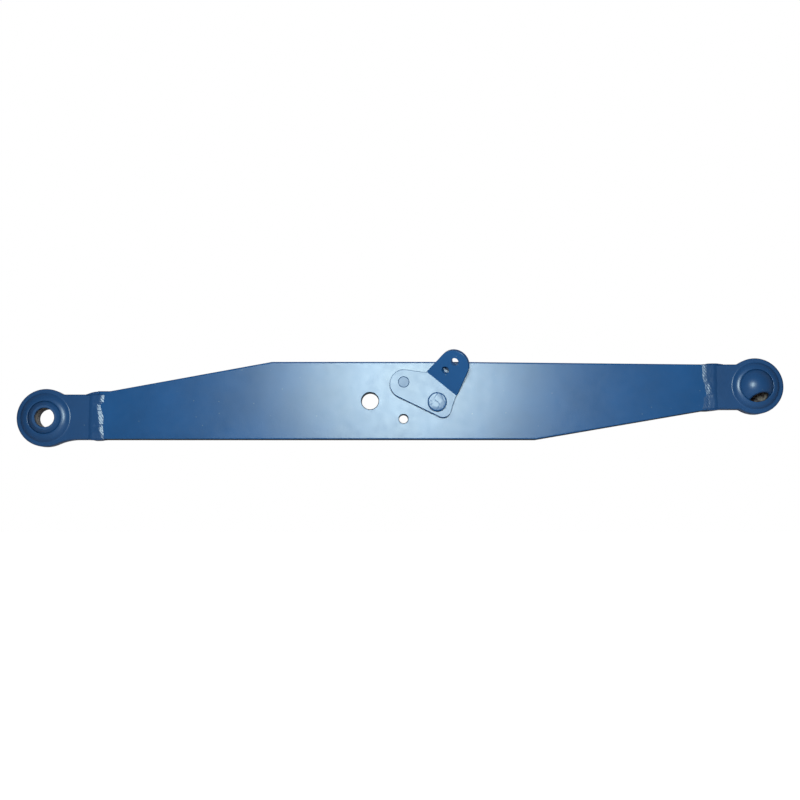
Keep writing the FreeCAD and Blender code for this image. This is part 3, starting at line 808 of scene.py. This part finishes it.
bpy.ops.object.select_all(action="DESELECT")
bpy.ops.mesh.primitive_circle_add(
    vertices=48, radius=head_radius, fill_type="TRIFAN", rotation=(math.pi / 2, 0, 0))
bpy.ops.object.transform_apply(location=True, rotation=True, scale=True)
bpy.ops.object.mode_set(mode="EDIT")
bpy.ops.mesh.subdivide(number_cuts=15)
bpy.ops.object.mode_set(mode="OBJECT")
head_shape = hammered(planes, head_height + HEAD_RISE, head_radius, HEAD_EDGE)
middle = middle_of("bracket_rivet")
head_place = Matrix.Translation((middle.x, flush_end, middle.z))
head = lift_and_close("hammered_rivet_head", head_shape, head_place, HEAD_ROOT, rivet_enamel)
print("rivet head faces:", len(head.data.polygons))

# %% [markdown]
# ## The floor
#
# The link is shown on pure white, so for the camera the floor glows as well. Under the glow it is
# still a grey floor, which keeps the shadow. A reflection sees the glow only far behind the link,
# because a nearer white floor would turn the edges that face down pale. The floor lies well below
# the link.

# %% Floor
FLOOR_DEPTH = 0.30
FLOOR_SIZE = 14
FLOOR_MIDDLE = (0.4, 3.0, -FLOOR_DEPTH)
FLOOR_GLOW = 0.95
FAR_BEHIND = (4.0, 9.0)

bpy.ops.object.select_all(action="DESELECT")
bpy.ops.mesh.primitive_plane_add(size=FLOOR_SIZE, location=FLOOR_MIDDLE)
floor = bpy.context.object
floor.name = "floor"
bpy.ops.object.transform_apply(location=True, rotation=True, scale=True)

floor_material, tree, shader = new_material("pale_studio_floor")
shader.inputs["Base Color"].default_value = FLOOR_GREY
shader.inputs["Roughness"].default_value = 0.8
rays = add_node(tree, "ShaderNodeLightPath")
direct = add_node(tree, "ShaderNodeMath", {"operation": "MAXIMUM"}, {
    0: rays.outputs["Is Camera Ray"], 1: rays.outputs["Is Transmission Ray"]})
way_back = add_node(tree, "ShaderNodeSeparateXYZ", inputs={
    "Vector": add_node(tree, "ShaderNodeTexCoord").outputs["Object"]})
far_floor = add_node(tree, "ShaderNodeMapRange", {"interpolation_type": "SMOOTHSTEP"}, {
    "Value": way_back.outputs["Y"], "From Min": FAR_BEHIND[0], "From Max": FAR_BEHIND[1]})
mirrored = add_node(tree, "ShaderNodeMath", {"operation": "MULTIPLY"}, {
    0: rays.outputs["Is Glossy Ray"], 1: far_floor.outputs["Result"]})
seen = add_node(tree, "ShaderNodeMath", {"operation": "MAXIMUM"}, {
    0: direct.outputs[0], 1: mirrored.outputs[0]})
glow = add_node(tree, "ShaderNodeEmission", inputs={"Color": WHITE, "Strength": FLOOR_GLOW})
both = add_node(tree, "ShaderNodeAddShader", inputs={
    0: shader.outputs["BSDF"], 1: glow.outputs["Emission"]})
chosen = add_node(tree, "ShaderNodeMixShader", inputs={
    "Fac": seen.outputs[0], 1: shader.outputs["BSDF"], 2: both.outputs["Shader"]})
tree.links.new(chosen.outputs["Shader"], tree.nodes["Material Output"].inputs["Surface"])
floor.data.materials.append(floor_material)
print("floor below the front ball in m:", FLOOR_DEPTH)

# %% [markdown]
# ## The white room
#
# The camera sees white all round. As light, the room is bright behind the link, fades overhead and
# at the sides, and is dark on the camera's side. So the back, the ends and the top of the link show
# plainly, while in front the softbox alone models the blue. A reflection sees a dim room that is
# white only straight behind the link. Both fade with the Y of the direction that a ray takes.

# %% Room
ROOM_LIGHT = 1.0
CAMERA_SIDE_LIGHT = 0.02
LIGHT_BLEND = (-0.25, 0.55)
REFLECTED_ROOM = 0.12
REFLECTION_BLEND = (0.80, 0.99)

world = bpy.data.worlds.new("white_room")
scene.world = world
world.use_nodes = True
tree = world.node_tree
towards = add_node(tree, "ShaderNodeSeparateXYZ", inputs={
    "Vector": add_node(tree, "ShaderNodeTexCoord").outputs["Generated"]})
ambient_strength = add_node(tree, "ShaderNodeMapRange", {"interpolation_type": "SMOOTHSTEP"}, {
    "Value": towards.outputs["Y"], "From Min": LIGHT_BLEND[0], "From Max": LIGHT_BLEND[1],
    "To Min": CAMERA_SIDE_LIGHT, "To Max": ROOM_LIGHT})
ambient = tree.nodes["Background"]
ambient.inputs["Color"].default_value = WHITE
tree.links.new(ambient_strength.outputs["Result"], ambient.inputs["Strength"])
reflected_strength = add_node(tree, "ShaderNodeMapRange", {"interpolation_type": "SMOOTHSTEP"}, {
    "Value": towards.outputs["Y"],
    "From Min": REFLECTION_BLEND[0], "From Max": REFLECTION_BLEND[1],
    "To Min": REFLECTED_ROOM, "To Max": ROOM_LIGHT})
reflected = add_node(tree, "ShaderNodeBackground", inputs={
    "Color": WHITE, "Strength": reflected_strength.outputs["Result"]})
white = add_node(tree, "ShaderNodeBackground", inputs={"Color": WHITE, "Strength": ROOM_LIGHT})
rays = add_node(tree, "ShaderNodeLightPath")
glossy = add_node(tree, "ShaderNodeMixShader", inputs={
    "Fac": rays.outputs["Is Glossy Ray"],
    1: ambient.outputs["Background"], 2: reflected.outputs["Background"]})
direct = add_node(tree, "ShaderNodeMath", {"operation": "MAXIMUM"}, {
    0: rays.outputs["Is Camera Ray"], 1: rays.outputs["Is Transmission Ray"]})
shown = add_node(tree, "ShaderNodeMixShader", inputs={
    "Fac": direct.outputs[0], 1: glossy.outputs["Shader"], 2: white.outputs["Background"]})
tree.links.new(shown.outputs["Shader"], tree.nodes["World Output"].inputs["Surface"])
print("room:", world.name)

# %% [markdown]
# ## The light
#
# One large round softbox stands between the camera and the link, above the line of sight, and faces
# the link. Its back doesn't show. The flat bar mirrors it as the pale glow in the middle of the
# link, which fades towards the ends as the angle grows.

# %% Light
SOFTBOX_PLACE = (0.430, -1.0, 0.172)
SOFTBOX_SIZE = 0.37
SOFTBOX_COLOUR = (0.80, 0.99, 0.99)
SOFTBOX_WATTS = 11.2

bpy.ops.object.light_add(type="AREA", location=SOFTBOX_PLACE)
softbox = bpy.context.object
softbox.name = "softbox"
softbox.data.shape = "ELLIPSE"
softbox.data.size = SOFTBOX_SIZE
softbox.data.size_y = SOFTBOX_SIZE
softbox.data.color = SOFTBOX_COLOUR
softbox.data.energy = SOFTBOX_WATTS
softbox.rotation_euler = (math.radians(90), 0, 0)
print("softbox in front of the link, in m:", -SOFTBOX_PLACE[1])

# %% [markdown]
# ## The camera
#
# The picture was taken from a little under the link, square to it, from about 1.4 m. At that
# distance the sockets show a little of their inner sides, so the distance matters more than the
# lens. The camera looks up: its line of sight rises by 112 mm in 1.2 m.

# %% Camera
CAMERA_PLACE = (0.4149, -1.412, -0.1103)
FOCAL_PIXELS = 1204.5
PICTURE_PIXELS = 800
SENSOR_MM = 36
PITCH = math.atan2(112, 1200)

bpy.ops.object.camera_add(location=CAMERA_PLACE, rotation=(math.radians(90) + PITCH, 0, 0))
camera = bpy.context.object
camera.name = "camera"
camera.data.sensor_width = SENSOR_MM
camera.data.lens = FOCAL_PIXELS / PICTURE_PIXELS * camera.data.sensor_width
scene.camera = camera
print("lens in mm:", round(camera.data.lens, 2))

# %% [markdown]
# ## Finish
#
# The view transform is left plain so that a colour on screen is the colour that was lit.

# %% Finish
scene.view_settings.view_transform = "Standard"
